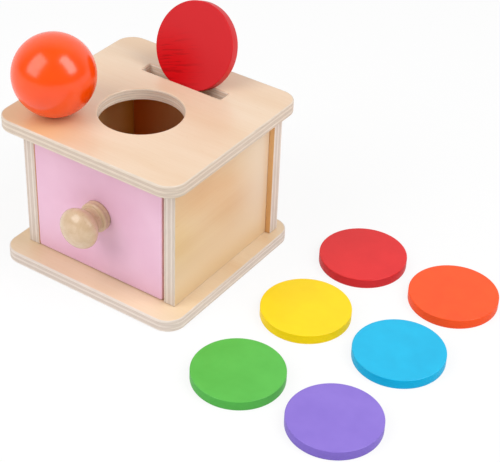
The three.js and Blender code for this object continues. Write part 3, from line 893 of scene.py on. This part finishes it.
# Each colour's face, the shade in its clouds, and its rim, darker than the face as painted shade
COIN_PAINTS = {
    "red": ("#E22B2D", "#DC2528", "#C82A2F"),
    "orange": ("#FA5720", "#F5501C", "#EE5120"),
    "yellow": ("#F7D70A", "#F3D106", "#ECCD02"),
    "green": ("#5CBC4E", "#56B548", "#52AD4A"),
    "blue": ("#16B8E4", "#10B0DD", "#02A9D6"),
    "purple": ("#8C74D2", "#866ECD", "#7F69C4"),
}
# Painted sheen: the leaning coin's red is paler and hazier outside the sawn patch
SLOT_COIN_PAINTED_SHEEN_RED = "#CE242A"
SLOT_COIN_DEEP_RED = "#D2000C"
SLOT_COIN_SHEEN = 0.12
SLOT_COIN_ROUGHNESS = 0.42
SAWN_PATCH_ASIDE = -14 * MM
SAWN_PATCH_UP = -18 * MM
SAWN_PATCH_INNER = 6 * MM
SAWN_PATCH_OUTER = 31 * MM
SAW_LINE_ACROSS = 1.3
SAW_LINE_ALONG = 14
SAW_LINE_SHADE = 0.74
SAW_LINE_FULL = 0.36
SAW_LINE_END = 0.46
SAW_LINE_TURN = math.radians(20)
SAW_RELIEF = 0.12 * MM
SAW_BUMP = 0.5


def coin_piece(name, node, body, materials, turn):
    """A coin in a CAD node's place, made lying flat and then turned."""
    low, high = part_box(node)
    bm = bmesh.new()
    bmesh.ops.create_cone(
        bm, cap_ends=True, segments=COIN_SEGMENTS, radius1=coin_diameter / 2, radius2=coin_diameter / 2,
        depth=coin_thickness,
    )
    rims = [edge for edge in bm.edges if abs(edge.verts[0].co.z - edge.verts[1].co.z) < SAME_POINT]
    bmesh.ops.bevel(
        bm, geom=rims, offset=COIN_ROUND, segments=COIN_ROUND_STEPS, profile=0.5,
        affect="EDGES", material=-1,
    )
    for face in bm.faces:
        face.smooth = abs(face.normal.z) < COIN_CAP_NORMAL
        face.material_index = FACE_MATERIAL if abs(face.normal.z) > FLAT_NORMAL else EDGE_MATERIAL
    bmesh.ops.rotate(bm, cent=(0, 0, 0), matrix=turn, verts=bm.verts)
    bmesh.ops.translate(bm, vec=(low + high) / 2, verts=bm.verts)
    piece = to_piece(bm, name, materials)
    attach(piece, body)
    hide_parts(node)


# Satin paint over wood: a strong colour with a soft sheen on the faces, less sheen on the rims and a darker tone
# there as painted shade.
coin_grain = (COIN_CLOUD, COIN_GRAIN_ACROSS, COIN_GRAIN_ALONG, X, COIN_RELIEF)
for colour, (tone, shade, shaded_rim_tone) in COIN_PAINTS.items():
    face_paint = satin_paint(f"satin {colour} paint", tone, shade, *coin_grain, FACE_SHEEN)
    # The rim's darker tone is painted shade
    rim_paint = satin_paint(
        f"{colour} paint shaded darker on the rim", shaded_rim_tone, shaded_rim_tone, *coin_grain, RIM_SHEEN,
    )
    coin_piece(
        f"{colour}_coin_disc", f"coin_{colour}", f"{colour}_coin",
        [face_paint, rim_paint], Matrix.Identity(3),
    )

lift = next(joint for joint in frame["joints"] if joint["name"] == "slot_coin_lift")
upward = Vector(lift["axis"])
standing = Matrix.Rotation(math.atan2(upward.z, upward.y), 3, "X")
face_normal = Vector((1, 0, 0)).cross(upward)
leaning_low, leaning_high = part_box("slot_coin_red")
patch_middle = (leaning_low + leaning_high) / 2
patch_middle += Vector((SAWN_PATCH_ASIDE, 0, 0)) + upward * SAWN_PATCH_UP

# Paint on a face that was sawn and not sanded at its lower left, where the saw's lines show through it.
# Outside that patch the red is paler and hazier, a painted sheen; within it the red is deep.
sawn_paint, tree, coordinates = blank_material("red paint with painted sheen on a rough-sawn face")
patch = share_about(tree, patch_middle, SAWN_PATCH_INNER, SAWN_PATCH_OUTER)
along_lines = add_node(tree, "ShaderNodeMapping", {
    "Vector": coordinates, "Rotation": tuple(Matrix.Rotation(-SAW_LINE_TURN, 3, face_normal).to_euler()),
})
saw_lines = grain_noise(tree, along_lines.outputs["Vector"], SAW_LINE_ACROSS, SAW_LINE_ALONG, X, detail=1)
line_depth = add_node(tree, "ShaderNodeMapRange", {
    "Value": saw_lines, "From Min": SAW_LINE_FULL, "From Max": SAW_LINE_END,
    "To Min": SAW_LINE_SHADE, "To Max": 1,
})
deep_lined = add_node(tree, "ShaderNodeMix", {
    MIX_SHARE: 1, MIX_FIRST: linear(SLOT_COIN_DEEP_RED), MIX_SECOND: line_depth.outputs["Result"],
}, data_type="RGBA", blend_type="MULTIPLY")
sawn_and_painted_sheen_tone = add_node(tree, "ShaderNodeMix", {
    MIX_SHARE: patch, MIX_FIRST: linear(SLOT_COIN_PAINTED_SHEEN_RED), MIX_SECOND: deep_lined.outputs[MIX_RESULT],
}, data_type="RGBA")
saw_height = add_node(tree, "ShaderNodeMath", {0: saw_lines, 1: patch}, operation="MULTIPLY")
saw_relief = add_node(tree, "ShaderNodeBump", {
    "Height": saw_height.outputs[0], "Strength": SAW_BUMP, "Distance": SAW_RELIEF,
})
dress(
    sawn_paint,
    Base_Color=sawn_and_painted_sheen_tone.outputs[MIX_RESULT],
    Roughness=SLOT_COIN_ROUGHNESS,
    Normal=saw_relief.outputs["Normal"],
    IOR=PAINT_IOR,
    Specular_IOR_Level=SLOT_COIN_SHEEN,
)

# Satin paint as on the loose coins' faces, clouded between the face's two reds, the paler one with painted sheen.
slot_rim_paint = satin_paint(
    "red paint on the leaning coin's rim", SLOT_COIN_PAINTED_SHEEN_RED, SLOT_COIN_DEEP_RED, *coin_grain, FACE_SHEEN,
)
slot_coin_paints = [sawn_paint, slot_rim_paint]
coin_piece("slot_coin_disc", "slot_coin_red", "slot_coin", slot_coin_paints, standing)


# Floor
# A wide sheet of white paper that the box and the coins stand on.
# The camera and mirror-like surfaces see it white, and it keeps a soft shadow.

FLOOR_SIZE = 40
FLOOR_DROP = 0.05 * MM
FLOOR_WHITE = "#F4F4F4"
FLOOR_SEEN_WHITE = 0.86
WHITE = (1, 1, 1, 1)

bm = bmesh.new()
bmesh.ops.create_grid(bm, x_segments=1, y_segments=1, size=FLOOR_SIZE / 2)
bmesh.ops.translate(bm, vec=(0, 0, -FLOOR_DROP), verts=bm.verts)

# Matt paper: no sheen at all, only white and the shadow.
sweep = blank_material("white paper sweep")[0]
tree = sweep.node_tree
dress(sweep, Base_Color=linear(FLOOR_WHITE), Roughness=1.0, Specular_IOR_Level=0.0)
path = add_node(tree, "ShaderNodeLightPath")
mirrored = add_node(tree, "ShaderNodeMath", {
    0: path.outputs["Is Glossy Ray"], 1: path.outputs["Is Transmission Ray"],
}, operation="MAXIMUM")
seen = add_node(tree, "ShaderNodeMath", {
    0: mirrored.outputs[0], 1: path.outputs["Is Camera Ray"],
}, operation="MAXIMUM")
seen_white = add_node(tree, "ShaderNodeMath", {
    0: seen.outputs[0], 1: FLOOR_SEEN_WHITE,
}, operation="MULTIPLY")
glow = add_node(tree, "ShaderNodeEmission", {"Color": WHITE, "Strength": 1})
paper = tree.nodes["Principled BSDF"]
surface = add_node(tree, "ShaderNodeMixShader", {
    0: seen_white.outputs[0], 1: paper.outputs["BSDF"], 2: glow.outputs["Emission"],
})
feed(tree.nodes["Material Output"], {"Surface": surface.outputs["Shader"]})
to_piece(bm, "floor", [sweep])


# Studio wall and room
# A white wall behind the box and a dimmer room in front of it, as glossy pieces mirror them.
# The camera sees plain white, and all else gets an even fill light.

FILL_LIGHT = 0.46
WALL_LIGHT = 1.0
ROOM_LIGHT = 0.14
WALL_SIDE = (-0.547, 0.837, 0)
WALL_FULL = 0.7

# Places of a Mix node's sockets where it mixes numbers
MIX_FIRST_NUMBER = 2
MIX_SECOND_NUMBER = 3
MIX_NUMBER = 0

world = bpy.data.worlds.new("white studio wall behind, dim room in front")
bpy.context.scene.world = world
world.use_nodes = True
tree = world.node_tree
direction = add_node(tree, "ShaderNodeTexCoord").outputs["Generated"]
toward_wall = add_node(tree, "ShaderNodeVectorMath", {0: direction, 1: WALL_SIDE}, operation="DOT_PRODUCT")
mirrored_level = add_node(tree, "ShaderNodeMapRange", {
    "Value": toward_wall.outputs["Value"], "From Max": WALL_FULL, "To Min": ROOM_LIGHT, "To Max": WALL_LIGHT,
}, interpolation_type="SMOOTHSTEP")
path = add_node(tree, "ShaderNodeLightPath")
lit_or_mirrored = add_node(tree, "ShaderNodeMix", {
    MIX_SHARE: path.outputs["Is Glossy Ray"],
    MIX_FIRST_NUMBER: FILL_LIGHT,
    MIX_SECOND_NUMBER: mirrored_level.outputs["Result"],
})
seen = add_node(tree, "ShaderNodeMath", {
    0: path.outputs["Is Camera Ray"], 1: path.outputs["Is Transmission Ray"],
}, operation="MAXIMUM")
strength = add_node(tree, "ShaderNodeMix", {
    MIX_SHARE: seen.outputs[0], MIX_FIRST_NUMBER: lit_or_mirrored.outputs[MIX_NUMBER], MIX_SECOND_NUMBER: 1,
})
feed(tree.nodes["Background"], {"Color": WHITE, "Strength": strength.outputs[MIX_NUMBER]})


# Lights
# Two upright softboxes, aimed at the ball from 41 and 43 degrees above it.
# One stands in front, a little to the left, and the other to the right.

SOFTBOX_DISTANCE = 1.2

# Each softbox's direction from the ball, its width and height in metres, and its power in watts
SOFTBOXES = {
    "left_softbox": ((-0.31, -0.69, 0.65), (0.78, 1.15), 9.2),
    "right_softbox": ((0.73, 0.12, 0.68), (0.52, 1.01), 8.5),
}
for name, (direction, size, power) in SOFTBOXES.items():
    lamp = bpy.data.lights.new(name, "AREA")
    lamp.shape = "RECTANGLE"
    lamp.size, lamp.size_y = size
    lamp.energy = power
    softbox = bpy.data.objects.new(name, lamp)
    bpy.context.scene.collection.objects.link(softbox)
    softbox.location = ball_middle + Vector(direction).normalized() * SOFTBOX_DISTANCE
    softbox.rotation_euler = (ball_middle - softbox.location).to_track_quat("-Z", "Y").to_euler()


# Camera
# A long lens about 0.9 m away, 33 degrees to the right of the front and 36 degrees above.
# It is turned by 2.3 degrees about its own axis.

CAMERA_PLACE = Vector((463.2, -593.0, 551.9)) * MM
CAMERA_YAW = math.radians(33.158)
CAMERA_PITCH = math.radians(35.637)
CAMERA_ROLL = math.radians(2.305)
CAMERA_LENS = 105.73
CAMERA_SENSOR = 36

lens = bpy.data.cameras.new("camera")
lens.lens = CAMERA_LENS
lens.sensor_width = CAMERA_SENSOR
camera = bpy.data.objects.new("camera", lens)
bpy.context.scene.collection.objects.link(camera)
aim = (
    Matrix.Rotation(CAMERA_YAW, 4, "Z")
    @ Matrix.Rotation(QUARTER_TURN - CAMERA_PITCH, 4, "X")
    @ Matrix.Rotation(CAMERA_ROLL, 4, "Z")
)
camera.matrix_world = Matrix.Translation(CAMERA_PLACE) @ aim
bpy.context.scene.camera = camera
bpy.context.scene.view_settings.view_transform = "Standard"
